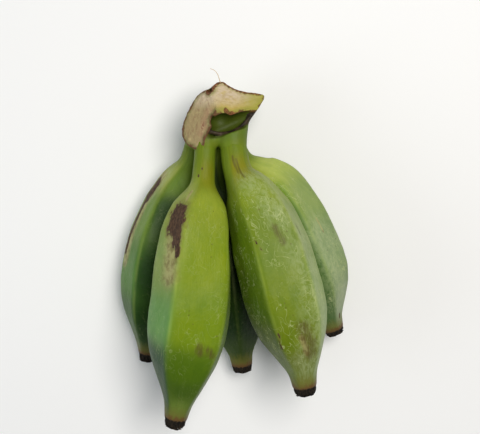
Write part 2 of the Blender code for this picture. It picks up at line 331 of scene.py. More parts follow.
class Complexion:
    """Colour, with painted light and shade in it, and marks of one finger's peel by
    length and degrees round.
    """

    def __init__(self, spec, length):
        self.radius = spec["radius"]
        self.ridges = spec["ridges"]
        tints_with_painted_light = list(spec["tints_with_painted_light"])
        for round_to in range(-180, 180, 45):
            tints_with_painted_light += [(along, round_to, SEAM) for along in (9, 15)]
            if abs(round_to) > 100:
                tints_with_painted_light += [(along, round_to, UNDERSIDE) for along in (50, 95, length - 12)]
        self.places = np.array([t[:2] for t in tints_with_painted_light], dtype=float)
        self.faced_places = np.array([self.faced(d) for d in self.places[:, 1]])
        self.colours = np.array([paint(*t[2]) for t in tints_with_painted_light])
        self.marks = {kind: [m for m in spec["marks"] if m[0] == kind]
                      for kind in MARK_KINDS}

    def faced(self, degrees):
        """Degrees drawn toward face middles, so that colour, with its painted light and
        shade, changes at a ridge.
        """
        for k, ridge in enumerate(self.ridges):
            after = self.ridges[(k + 1) % len(self.ridges)]
            span = (after - ridge) % 360
            past = (degrees - ridge) % 360
            if past < span:
                t = past / span - 0.5
                return ridge + span * (0.5 + 0.25 * t + 12.0 * t ** 5)
        return degrees

    def colour(self, along, degrees):
        turn = (self.faced_places - self.faced(degrees) + 180) % 360 - 180
        gap = (self.places[:, 0] - along) ** 2 + (turn * self.radius / TINT_TURN) ** 2
        weight = 1 / (gap + TINT_SOFT) ** 2
        return weight @ self.colours / weight.sum()

    def mark(self, kind, along, degrees, radius):
        """1 in the middle of a mark, 0 at its edge, less beyond."""
        best = -2.0
        for stroke in self.marks[kind]:
            spots = []
            for a, d in stroke[2:]:
                turn = (d - degrees + 180) % 360 - 180
                spots.append(Vector((a - along, math.radians(turn) * radius)))
            for near, far in zip(spots, spots[1:]):
                hop = far - near
                t = min(1.0, max(0.0, -near.dot(hop) / max(hop.length_squared, 1e-6)))
                best = max(best, 1 - (near + hop * t).length / stroke[1])
        return best


def hand_object(name, bm, slot, *replaced):
    """A closed mesh, its faces turned outward, as a piece of the hand."""
    bmesh.ops.recalc_face_normals(bm, faces=bm.faces[:])
    if bm.calc_volume(signed=True) < 0:
        bmesh.ops.reverse_faces(bm, faces=bm.faces[:])
    mesh = bpy.data.meshes.new(name)
    bm.to_mesh(mesh)
    bm.free()
    made = bpy.data.objects.new(name, mesh)
    bpy.context.scene.collection.objects.link(made)
    for face in mesh.polygons:
        face.use_smooth = True
    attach(made, "root")
    if replaced:
        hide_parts(*replaced)
    return made


def ring_places(length):
    """How far along each ring of a finger lies, closer at the flower end."""
    body = np.arange(STALK_START, length - FINE_REACH, STEP)
    end = np.arange(body[-1] + FINE_STEP, length, FINE_STEP)
    return np.concatenate([body, end, [length]])


def finger(name, spec):
    """One banana, drawn ring by ring along its centreline."""
    line = Centreline(spec["line"])
    girth = Girth(spec, line.length)
    bm = bmesh.new()
    skin = bm.verts.layers.float_vector.new("skin")
    to_end = bm.verts.layers.float.new("to_end")
    share = bm.verts.layers.float.new("share")
    ridge = bm.verts.layers.float.new("ridge")
    tint_with_painted_light = bm.verts.layers.float_color.new("tint_with_painted_light")
    scratched = bm.verts.layers.float.new("scratched")
    kinds = {kind: bm.verts.layers.float.new(kind) for kind in MARK_KINDS}
    look = Complexion(spec, line.length)
    drift = Vector((spec["seed"] * DRIFT_X, spec["seed"] * DRIFT_Y, 0))
    cap = disc(bm, SIDES)
    for number, along in enumerate(ring_places(line.length)):
        if number:
            cap = grow(bm, cap, number > 1)
        place, heading, up, side = line.at(along)
        thick, ridged = girth.at(along)
        left = line.length - along
        for i, vert in enumerate(cap.verts):
            angle = math.tau * i / SIDES
            turned = angle - math.radians(spec["twist"] * (along / line.length - 0.5) * 2)
            shape = 1 + (five_sided(turned, spec["ridges"]) - 1) * ridged
            radius = spec["radius"] * thick * shape
            straight = Vector((math.cos(angle), math.sin(angle), 0)) * spec["radius"]
            straight.z = along
            wave, height = SLOW_UNEVEN
            radius += height * noise.noise(straight / wave + drift) * ridged
            degrees = math.degrees(angle)
            for a, d, height, reach in spec.get("bulges", ()):
                turn = (d - degrees + 180) % 360 - 180
                near = ((along - a) / reach) ** 2 + (turn / BULGE_WIDTH) ** 2
                radius += height * math.exp(-near)
            wave, height = FINE_UNEVEN
            radius += height * noise.noise(straight / wave + drift)
            if left < spec["stub"]:
                rough = sum(noise.noise(straight / wave + drift) * height
                            for wave, height in STUB_ROUGH)
                shrunk = min(1.0, (spec["stub"] - left) / STUB_EASE)
                radius += (rough - STUB_SHRINK) * shrunk
            wave, ragged = TUCK_UNEVEN
            inset = along - STALK_START - ragged * noise.noise(straight / wave - drift)
            tuck = min(1.0, max(0.0, 1 - inset / (STALK_MEETS + 1 - STALK_START)))
            radius *= 1 - TUCK * tuck
            out = up * math.cos(angle) + side * math.sin(angle)
            vert.co = (place + out * radius + SHIFT) * MM
            vert[skin] = straight * MM
            vert[to_end] = left + STUB - spec["stub"]
            vert[share] = along / line.length
            vert[ridge] = ridge_nearness(turned, spec["ridges"]) * ridged
            vert[tint_with_painted_light] = (*look.colour(along, math.degrees(turned)), 1)
            vert[scratched] = spec["scratched"] * ridged
            for kind, layer in kinds.items():
                vert[layer] = look.mark(kind, along, degrees, radius)
    bmesh.ops.inset_region(bm, faces=[cap], thickness=END_RIM * MM, depth=0.0)
    bmesh.ops.inset_region(bm, faces=[cap], thickness=END_DISH * MM, depth=END_DEPTH * MM)
    made = hand_object(name + "_peel", bm, "green_skin", name)
    made.data.materials.append(PEEL)
    return made


def workpiece(name, bm):
    """A mesh in the making, thrown away once the crown is whole."""
    bmesh.ops.recalc_face_normals(bm, faces=bm.faces[:])
    mesh = bpy.data.meshes.new(name)
    bm.to_mesh(mesh)
    bm.free()
    made = bpy.data.objects.new(name, mesh)
    bpy.context.scene.collection.objects.link(made)
    return made


def settle(piece, kind, **settings):
    """Run one modifier and keep its result as the piece's mesh."""
    mod = piece.modifiers.new(kind.lower(), kind)
    for key, value in settings.items():
        setattr(mod, key, value)
    bpy.context.view_layer.update()
    seen = piece.evaluated_get(bpy.context.evaluated_depsgraph_get())
    mesh = bpy.data.meshes.new_from_object(seen)
    piece.modifiers.clear()
    piece.data = mesh


def carve(piece, tool):
    """Cut one mesh away from the piece and throw the tool away."""
    settle(piece, "BOOLEAN", operation="DIFFERENCE", solver="EXACT", object=tool)
    bpy.data.objects.remove(tool, do_unlink=True)


def resurface(piece, grain, rounds):
    """Make the piece one even skin again and ease it."""
    settle(piece, "REMESH", mode="VOXEL", voxel_size=grain * MM)
    settle(piece, "SMOOTH", factor=0.5, iterations=rounds)


def fuse(piece, others):
    """Pour other closed meshes into the piece's own; a remesh then makes them one."""
    bm = bmesh.new()
    bm.from_mesh(piece.data)
    for other in others:
        bm.from_mesh(other.data)
        bpy.data.objects.remove(other, do_unlink=True)
    bm.to_mesh(piece.data)
    bm.free()


def in_mm(points):
    return [(Vector(p) + SHIFT) * MM for p in points]


def block(name, point, facing, along=None):
    """A thick block whose near face passes through the point.

    With along it stops at a side wall that runs that way through the point.
    """
    up = Vector(facing).normalized()
    if along is None:
        forward = up.orthogonal().normalized()
        middle = Vector((0, 0, BLOCK / 2))
    else:
        forward = (Vector(along) - up * Vector(along).dot(up)).normalized()
        middle = Vector((-BLOCK / 2, 0, BLOCK / 2))
    across = forward.cross(up)
    bm = bmesh.new()
    bmesh.ops.create_cube(bm, size=BLOCK * MM)
    bmesh.ops.translate(bm, verts=bm.verts, vec=middle * MM)
    turn = Matrix((across, forward, up)).transposed()
    bmesh.ops.rotate(bm, verts=bm.verts, matrix=turn)
    bmesh.ops.translate(bm, verts=bm.verts, vec=(Vector(point) + SHIFT) * MM)
    return workpiece(name, bm)


def ellipsoid(name, centre, radii, yaw):
    bm = bmesh.new()
    bmesh.ops.create_uvsphere(bm, u_segments=48, v_segments=28, radius=1.0)
    bmesh.ops.scale(bm, verts=bm.verts, vec=Vector(radii) * MM)
    turn = Matrix.Rotation(math.radians(yaw), 3, "Z")
    bmesh.ops.rotate(bm, verts=bm.verts, matrix=turn)
    bmesh.ops.translate(bm, verts=bm.verts, vec=(Vector(centre) + SHIFT) * MM)
    return workpiece(name, bm)


def cushion():
    bm = bmesh.new()
    cap = disc(bm, len(CROWN_PLAN))
    middle = Vector(CROWN_CENTRE)
    for number, (height, share) in enumerate(CROWN_LEVELS):
        if number:
            cap = grow(bm, cap, number > 1)
        for vert, corner in zip(cap.verts, CROWN_PLAN):
            flat = middle + (Vector(corner) - middle) * share
            vert.co = (Vector((flat.x, flat.y, height)) + SHIFT) * MM
    made = workpiece("cushion", bm)
    settle(made, "SUBSURF", levels=3, render_levels=3)
    return made


def collar(spec):
    """The crown's own tissue round a stalk, wide at its root, dipping under the peel."""
    line = Centreline(spec["line"])
    girth = Girth(spec, line.length)
    bm = bmesh.new()
    cap = disc(bm, COLLAR_SIDES)
    for number, along in enumerate(np.arange(0, STALK_MEETS + COLLAR_PAST, 1.0)):
        if number:
            cap = grow(bm, cap, number > 1)
        place, heading, up, side = line.at(along)
        thick, _ = girth.at(along)
        before = (STALK_MEETS - along) / STALK_MEETS
        spread = ROOT_SPREAD * max(0.0, before) ** 1.25 + DIP * min(0.0, before)
        for i, vert in enumerate(cap.verts):
            angle = math.tau * i / COLLAR_SIDES
            out = up * math.cos(angle) + side * math.sin(angle)
            radius = spec["radius"] * thick * (1 + spread) + COLLAR_OVER
            vert.co = (place + out * radius + SHIFT) * MM
    return workpiece("collar", bm)


def tube(name, points, radius):
    """A round rib through the points, closed at both ends."""
    curve = bpy.data.curves.new(name, "CURVE")
    curve.dimensions = "3D"
    curve.bevel_depth = radius * MM
    curve.bevel_resolution = 3
    curve.use_fill_caps = True
    line = curve.splines.new("BEZIER")
    line.bezier_points.add(len(points) - 1)
    for knot, place in zip(line.bezier_points, in_mm(points)):
        knot.co = place
        knot.handle_left_type = "AUTO"
        knot.handle_right_type = "AUTO"
    drawn = bpy.data.objects.new(name, curve)
    bpy.context.scene.collection.objects.link(drawn)
    bpy.context.view_layer.update()
    seen = drawn.evaluated_get(bpy.context.evaluated_depsgraph_get())
    bm = bmesh.new()
    bm.from_mesh(seen.to_mesh())
    bpy.data.objects.remove(drawn, do_unlink=True)
    bmesh.ops.remove_doubles(bm, verts=bm.verts, dist=0.01 * MM)
    return workpiece(name, bm)


def crown():
    """The cushion with its stalk collars, cut by two strokes of a knife."""
    piece = cushion()
    carve(piece, block("brow", *BROW))
    web = ellipsoid("web", *WEB, 0)
    fuse(piece, [collar(spec) for spec in FINGERS.values()] + [web])
    resurface(piece, 0.9, 8)
    carve(piece, ellipsoid("hollow", HOLLOW_CENTRE, HOLLOW_RADII, HOLLOW_YAW))
    carve(piece, ellipsoid("hollow_end", *HOLLOW_END, HOLLOW_YAW))
    resurface(piece, 0.8, 5)
    fuse(piece, [tube("scar", SCAR_LINE, SCAR_RADIUS)])
    resurface(piece, 0.6, 2)
    carve(piece, block("knife_right", *CUT_RIGHT))
    near, far = Vector(STEP_LINE[0]), Vector(STEP_LINE[1])
    level = Vector(CUT_LEFT[1])
    rise = ((near.x - CUT_LEFT[0][0]) * level.x + (near.y - CUT_LEFT[0][1]) * level.y)
    start = Vector((near.x, near.y, CUT_LEFT[0][2] - rise / level.z))
    way = far - near
    carve(piece, block("knife_left", start, level, along=(way.x, way.y, 0)))
    carve(piece, ellipsoid("notch", *NOTCH, NOTCH_YAW))
    resurface(piece, 0.42, 1)
    piece.name = "crown_cushion"
    survey(piece.data)
    for face in piece.data.polygons:
        face.use_smooth = True
    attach(piece, "root")
    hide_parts("crown")
    piece.data.materials.clear()
    piece.data.materials.append(FLESH)
    return piece


def keep(mesh, name, values, kind="FLOAT"):
    """Store one value per point of the mesh for its material to read."""
    layer = mesh.attributes.new(name, kind, "POINT")
    slot = {"FLOAT": "value", "FLOAT_VECTOR": "vector", "FLOAT_COLOR": "color"}[kind]
    layer.data.foreach_set(slot, np.asarray(values, dtype=np.float32).ravel())


def from_line(points, line):
    """Distance of every point from a chain of straight pieces."""
    best = np.full(len(points), 1e9)
    for near, far in zip(line, line[1:]):
        near, hop = np.array(near), np.array(far) - np.array(near)
        t = np.clip((points - near) @ hop / (hop @ hop), 0, 1)
        best = np.minimum(best, np.linalg.norm(points - near - t[:, None] * hop, axis=1))
    return best


def bowl(points, centre, radii):
    """1 on a turned ellipsoid, less inside it."""
    yaw = math.radians(HOLLOW_YAW)
    turned = points - np.array(centre)
    turned[:, :2] = turned[:, :2] @ np.array([[math.cos(yaw), -math.sin(yaw)],
                                              [math.sin(yaw), math.cos(yaw)]])
    return np.linalg.norm(turned / np.array(radii), axis=1)


def below(points, plane):
    """Millimetres under a knife's plane."""
    place, facing = plane
    facing = np.array(facing) / np.linalg.norm(facing)
    return -(points - np.array(place)) @ facing


def survey(mesh):
    """Find flesh, rim, hollow and scar on the crown, and roughen what was cut."""
    count = len(mesh.vertices)
    points = np.zeros(count * 3)
    mesh.vertices.foreach_get("co", points)
    points = points.reshape(-1, 3) / MM - np.array(SHIFT)
    near, far = np.array(STEP_LINE[0]), np.array(STEP_LINE[1])
    way = (far - near) / np.linalg.norm(far - near)
    aside = (points[:, 0] - near[0]) * way[1] - (points[:, 1] - near[1]) * way[0]
    limb = np.clip(aside / LIMB_BLEND + 0.5, 0, 1)
    left, right = below(points, CUT_LEFT), below(points, CUT_RIGHT)
    under = np.where(aside < 0, np.abs(left), np.abs(right))
    shared = (aside < 0) & (aside > -LIMB_BLEND / 2)
    under = np.where(shared, np.minimum(under, np.abs(right)), under)
    step = (np.abs(aside) < 0.6) & (left < 0.3) & (points[:, 1] > near[1] - 1)
    under = np.where(step, 0.0, under)
    cut = under < CUT_SKIN
    tree = kdtree.KDTree(max(1, int((~cut).sum())))
    for i in np.flatnonzero(~cut):
        tree.insert(points[i], int(i))
    tree.balance()
    to_rim = np.zeros(count)
    for i in np.flatnonzero(cut):
        to_rim[i] = tree.find(points[i])[2]
    reach = np.minimum(bowl(points, HOLLOW_CENTRE, HOLLOW_RADII),
                       bowl(points, *HOLLOW_END))
    keep(mesh, "under_cut", under)
    keep(mesh, "to_rim", to_rim)
    keep(mesh, "limb", limb)
    keep(mesh, "hollow", HOLLOW_EDGE - reach)
    keep(mesh, "from_scar", from_line(points, SCAR_LINE))
    plan = points[:, :2]
    keep(mesh, "from_lip", from_line(plan, LIP_LINE))
    keep(mesh, "from_tear", from_line(plan, TEAR_LINE))
    keep(mesh, "from_flush", from_line(plan, FLUSH_LINE))
    keep(mesh, "millimetres", points, "FLOAT_VECTOR")
    facing = np.where(limb[:, None] > 0.5, np.array(CUT_RIGHT[1]), np.array(CUT_LEFT[1]))
    moved = points.copy()
    for i in np.flatnonzero(under < 1.2):
        x, y, z = points[i]
        if limb[i] > 0.5:
            grain = Vector(((x * 0.93 + y * 0.37) / 5.0, (y * 0.93 - x * 0.37) / 1.0, 0))
        else:
            grain = Vector(((y * 0.94 + x * 0.34) / 5.0, (x * 0.94 - y * 0.34) / 1.0, 7))
        here = Vector((x, y, z))
        lift = THREAD_RELIEF * noise.noise(grain)
        for wave, height in CUT_RELIEF:
            lift += height * noise.noise(here / wave)
        wave, depth, width = RIM_RELIEF
        lift -= depth * max(0.0, 1 - to_rim[i] / width) * noise.noise(here / wave)
        moved[i] += facing[i] * lift
    mesh.vertices.foreach_set("co", ((moved + np.array(SHIFT)) * MM).ravel())
    mesh.update()


def fibre():
    """A pulled strand standing up from the crown's peak."""
    bm = bmesh.new()
    cap = disc(bm, FIBRE_SIDES)
    for number in range(FIBRE_STEPS + 1):
        t = number / FIBRE_STEPS
        if number:
            cap = grow(bm, cap, number > 1)
        place = spline_at(FIBRE_PATH, t)
        heading = (spline_at(FIBRE_PATH, min(1, t + 0.02))
                   - spline_at(FIBRE_PATH, max(0, t - 0.02)))
        side = heading.cross(Vector((0, 0, 1))).normalized()
        up = side.cross(heading).normalized()
        radius = 0.24 - 0.12 * t
        for i, vert in enumerate(cap.verts):
            angle = math.tau * i / FIBRE_SIDES
            out = side * math.cos(angle) + up * math.sin(angle) * 0.7
            vert.co = (place + out * radius + SHIFT) * MM
    made = hand_object("crown_fibre", bm, "cut_crown")
    made.data.materials.append(STRAND)


# ---- finishes -------------------------------------------------------------------
CHIPS = {
    # worn ridge and highlight: pale ridge colour, part wear and part painted highlight
    "worn ridge and highlight": (176, 188, 96), "dust": (176, 188, 138), "scratch": (194, 202, 142),
    "freckle": (84, 74, 36), "rub": (176, 168, 110), "dark rub": (128, 110, 66),
    "smudge": (84, 76, 34), "halo": (110, 104, 48), "bruise": (58, 40, 28),
    "dry bruise": (92, 68, 48), "olive end": (104, 100, 44), "brown end": (98, 68, 40),
    "black stub": (24, 22, 20), "grey stub": (62, 52, 40),
    "crown front": (84, 110, 34), "weathered": (112, 98, 54),
    # the two hollow greens are painted shade for the crown's darkened hollow
    "deep hollow shade": (58, 68, 14), "hollow": (72, 86, 22),
    "lip": (74, 44, 26), "dry lip": (128, 84, 52),
    "scar": (38, 32, 24), "dry scar": (64, 52, 36),
    # the left flesh, thread and edge chips are the right ones painted greyer and darker
    # as shade on the left limb
    "shaded left flesh": (160, 143, 102), "right flesh": (187, 165, 76),
    "peak flesh": (206, 188, 162), "shaded left thread": (132, 112, 84),
    "right thread": (162, 138, 78), "flush": (164, 122, 98), "vein": (118, 64, 52),
    "dry flesh": (204, 188, 138), "shaded left edge": (104, 106, 62),
    "right edge": (138, 142, 62), "right tip": (160, 156, 62),
    "rim": (62, 38, 24), "dry rim": (120, 78, 56),
    "torn": (84, 46, 28), "dry torn": (140, 88, 58),
    "pale strand": (226, 210, 178), "tan strand": (190, 160, 120),
}


def chip(name):
    """A named colour as the light values that a shader mixes."""
    return paint(*CHIPS[name])


class Finish:
    """Builds one material's nodes; every helper returns an output to wire on."""

    def __init__(self, name):
        made = bpy.data.materials.new(name)
        made.use_nodes = True
        self.made = made
        self.tree = made.node_tree
        self.shader = self.tree.nodes["Principled BSDF"]
        self.shader.inputs["Specular IOR Level"].default_value = SHINE

    def node(self, kind, inputs, **settings):
        made = self.tree.nodes.new("ShaderNode" + kind)
        for key, value in settings.items():
            setattr(made, key, value)
        for key, value in inputs.items():
            self.wire(value, made.inputs[key])
        return made

    def wire(self, value, socket):
        if isinstance(value, bpy.types.NodeSocket):
            self.tree.links.new(value, socket)
        elif isinstance(value, (tuple, list)) and socket.type == "RGBA":
            socket.default_value = (*value[:3], 1)
        else:
            socket.default_value = value

    def attribute(self, name, output="Fac"):
        return self.node("Attribute", {}, attribute_name=name).outputs[output]

    def math(self, operation, a, b=0.0, clamp=False):
        return self.node("Math", {0: a, 1: b}, operation=operation,
                         use_clamp=clamp).outputs[0]

    def times(self, a, b):
        return self.math("MULTIPLY", a, b)

    def plus(self, a, b):
        return self.math("ADD", a, b)

    def between(self, value, low, high, to_low=0.0, to_high=1.0):
        """Ease from one number to another while the value crosses a span."""
        made = self.node("MapRange", {"Value": value, "From Min": low, "From Max": high,
                                      "To Min": to_low, "To Max": to_high},
                         interpolation_type="SMOOTHSTEP")
        return made.outputs[0]

    def swing(self, grain, amount):
        """A grain's rise and fall about nothing."""
        return self.times(self.math("SUBTRACT", grain, 0.5), amount)

    def mix(self, share, a, b, blend="MIX"):
        made = self.node("Mix", {0: share, 6: a, 7: b}, data_type="RGBA",
                         blend_type=blend)
        return made.outputs[2]

    def toned(self, share, colour, factors):
        """The colour, in part multiplied by the factors."""
        return self.mix(share, colour, self.mix(1.0, colour, factors, "MULTIPLY"))

    def two(self, share, name, other):
        """A blend of two named colours."""
        return self.mix(share, chip(name), chip(other))

    def part(self, vector, axis):
        """One coordinate of a place."""
        return self.node("SeparateXYZ", {0: vector}).outputs[axis]

    def stretched(self, vector, scale, turn=(0, 0, 0)):
        return self.node("Mapping", {"Vector": vector, "Scale": scale,
                                     "Rotation": turn}).outputs[0]

    def grain(self, vector, scale, detail=2.0, rough=0.5, twist=0.0):
        made = self.node("TexNoise", {"Vector": vector, "Scale": scale, "Detail": detail,
                                      "Roughness": rough, "Distortion": twist})
        return made.outputs[0]

    def scratches(self, vector, scale, width):
        """Thin wandering lines, where a slow grain crosses its middle value."""
        slow = self.grain(vector, scale, 2.0, 0.45, 0.8)
        gap = self.math("ABSOLUTE", self.math("SUBTRACT", slow, 0.5))
        return self.between(gap, width, width * 0.3)

    def dots(self, vector, scale, size, share):
        """Small round spots in some of the cells."""
        made = self.node("TexVoronoi", {"Vector": vector, "Scale": scale})
        spot = self.between(made.outputs["Distance"], size, size * 0.5)
        lot = self.node("SeparateColor", {0: made.outputs["Color"]}).outputs[0]
        return self.times(spot, self.between(lot, share, share - 0.03))

    def bump(self, height, strength, distance, normal=None):
        inputs = {"Height": height, "Strength": strength, "Distance": distance}
        if normal is not None:
            inputs["Normal"] = normal
        return self.node("Bump", inputs).outputs[0]

    def finish(self, colour, roughness, normal):
        self.wire(colour, self.shader.inputs["Base Color"])
        self.wire(roughness, self.shader.inputs["Roughness"])
        self.wire(normal, self.shader.inputs["Normal"])
        return self.made


def peel_grain(f, place, colour):
    """Broad and fine mottling, the same on the peel and on the crown's skin."""
    broad = f.grain(place, 70.0, 3.0, 0.55, 0.4)
    fine = f.grain(place, 420.0, 3.0, 0.6)
    colour = f.toned(f.between(broad, 0.35, 0.70, 0.0, 0.55), colour, (0.80, 0.90, 0.86))
    colour = f.toned(f.between(fine, 0.35, 0.70, 0.0, 0.45), colour, (1.16, 1.10, 1.0))
    return colour, broad, fine


# Turn, size and width of each set of healed scratches.
HEALED = ((0.3, 85.0, 0.006), (1.4, 140.0, 0.010), (2.3, 210.0, 0.015))


def green_peel():
    f = Finish("green_peel")
    place = f.attribute("skin", "Vector")
    to_end = f.attribute("to_end")
    ridge = f.attribute("ridge")
    scratched = f.attribute("scratched")
    # The tint holds painted light and shade: darker on faces in shade, paler on lit
    # faces.
    colour = f.attribute("tint_with_painted_light", "Color")
    colour, broad, fine = peel_grain(f, place, colour)

    lengthwise = f.grain(f.stretched(place, (1, 1, 0.07)), 1300.0, 3.0, 0.6)
    colour = f.toned(f.between(lengthwise, 0.50, 0.72, 0.0, 0.26), colour,
                     (0.74, 0.82, 0.74))

    # Cloudy patches, strongest on the rubbed fingers, and streaks on the stalk.
    cloud = f.between(f.grain(f.stretched(place, (1, 1, 0.6)), 85.0, 4.0, 0.62, 0.5),
                      0.42, 0.62)
    patchy = f.plus(0.12, f.times(scratched, 0.34))
    colour = f.toned(f.times(cloud, patchy), colour, (0.62, 0.76, 0.50))
    stripes = f.between(f.grain(f.stretched(place, (1, 1, 0.06)), 620.0, 3.0, 0.6),
                        0.46, 0.64)
    stalk = f.between(f.attribute("share"), 0.27, 0.10, 0.0, 0.55)
    colour = f.toned(f.times(stripes, stalk), colour, (0.72, 0.70, 0.55))

    # Ridges are a little paler and yellower, worn in places, with a painted highlight
    # line along them.
    worn_and_highlight = f.times(f.between(ridge, 0.86, 1.0), f.between(broad, 0.38, 0.58, 0.25, 1.0))
    pale = f.mix(1.0, colour, (1.5, 1.4, 1.4), "MULTIPLY")
    pale = f.mix(0.3, pale, chip("worn ridge and highlight"))
    colour = f.mix(f.times(worn_and_highlight, 0.5), colour, pale)

    # A dusty veil, then fine healed scratches of three sizes, broken into groups.
    chalk = f.grain(f.stretched(place, (1, 1, 0.75)), 420.0, 5.0, 0.75, 0.6)
    veil = f.times(f.between(f.attribute("bloom"), -0.8, 0.7),
                   f.between(chalk, 0.40, 0.60, 0.20, 1.0))
    colour = f.mix(f.times(veil, 0.40), colour, chip("dust"))
    healed = None
    for turn, size, width in HEALED:
        turned = f.stretched(place, (1.0, 1.0, 0.8), (turn, 0.2, turn))
        lines = f.scratches(turned, size, width)
        worn_off = f.between(f.grain(turned, size * 0.40, 2.0, 0.5), 0.44, 0.54)
        lines = f.times(lines, worn_off)
        healed = lines if healed is None else f.math("MAXIMUM", healed, lines)
    broken = f.between(f.grain(place, 48.0, 3.0, 0.6), 0.40, 0.56, 0.12, 1.0)
    healed = f.times(f.times(healed, broken), scratched)
    colour = f.mix(f.times(healed, 0.50), colour, chip("scratch"))

    # Fine dark freckles.
    specks = f.dots(place, 330.0, 0.16, 0.16)
    colour = f.mix(f.times(specks, 0.6), colour, chip("freckle"))

    # Tan rubs and dark bruises with ragged edges.
    ragged = f.grain(place, 620.0, 4.0, 0.65)
    blotch = f.grain(place, 240.0, 3.0, 0.6)
    edge = f.plus(f.swing(ragged, 0.9), f.swing(blotch, 1.2))
    tan = f.between(f.plus(f.attribute("tan"), f.times(edge, 0.6)), -0.20, 0.75)
    colour = f.mix(f.times(tan, 0.78), colour,
                   f.two(f.between(blotch, 0.4, 0.65), "rub", "dark rub"))
    streaky = f.between(lengthwise, 0.35, 0.60, 0.35, 1.0)
    smudge = f.times(f.between(f.plus(f.attribute("smudge"), edge), -0.35, 0.75), streaky)
    colour = f.mix(f.times(smudge, 0.80), colour, chip("smudge"))
    sore = f.plus(f.attribute("bruise"), edge)
    bruise = f.between(sore, 0.02, 0.22)
    halo = f.between(sore, -0.45, 0.05)
    colour = f.mix(f.times(halo, 0.45), colour, chip("halo"))
    colour = f.mix(bruise, colour,
                   f.two(f.between(ragged, 0.35, 0.68), "bruise", "dry bruise"))

    # The collar browns toward the black dried flower end.
    tip = f.plus(to_end, f.swing(blotch, 7.0))
    colour = f.mix(f.between(tip, 15.0, 6.5, 0.0, 0.75), colour, chip("olive end"))
    colour = f.mix(f.between(tip, 8.0, 5.0, 0.0, 0.85), colour, chip("brown end"))
    char = f.between(f.plus(to_end, f.swing(ragged, 3.0)), 4.9, 3.9)
    colour = f.mix(char, colour,
                   f.two(f.between(ragged, 0.4, 0.7), "black stub", "grey stub"))

    rough = f.between(broad, 0.3, 0.7, 0.40, 0.50)
    rough = f.plus(rough, f.times(healed, 0.15))
    rough = f.plus(rough, f.times(bruise, 0.22))
    rough = f.math("ADD", rough, f.times(char, 0.45), clamp=True)
    normal = f.bump(lengthwise, 0.16, 0.0006)
    normal = f.bump(fine, 0.22, 0.0008, normal)
    normal = f.bump(f.math("MAXIMUM", healed, bruise), 0.25, 0.0003, normal)
    normal = f.bump(f.times(ragged, f.plus(char, 0.06)), 0.9, 0.0016, normal)
    return f.finish(colour, rough, normal)


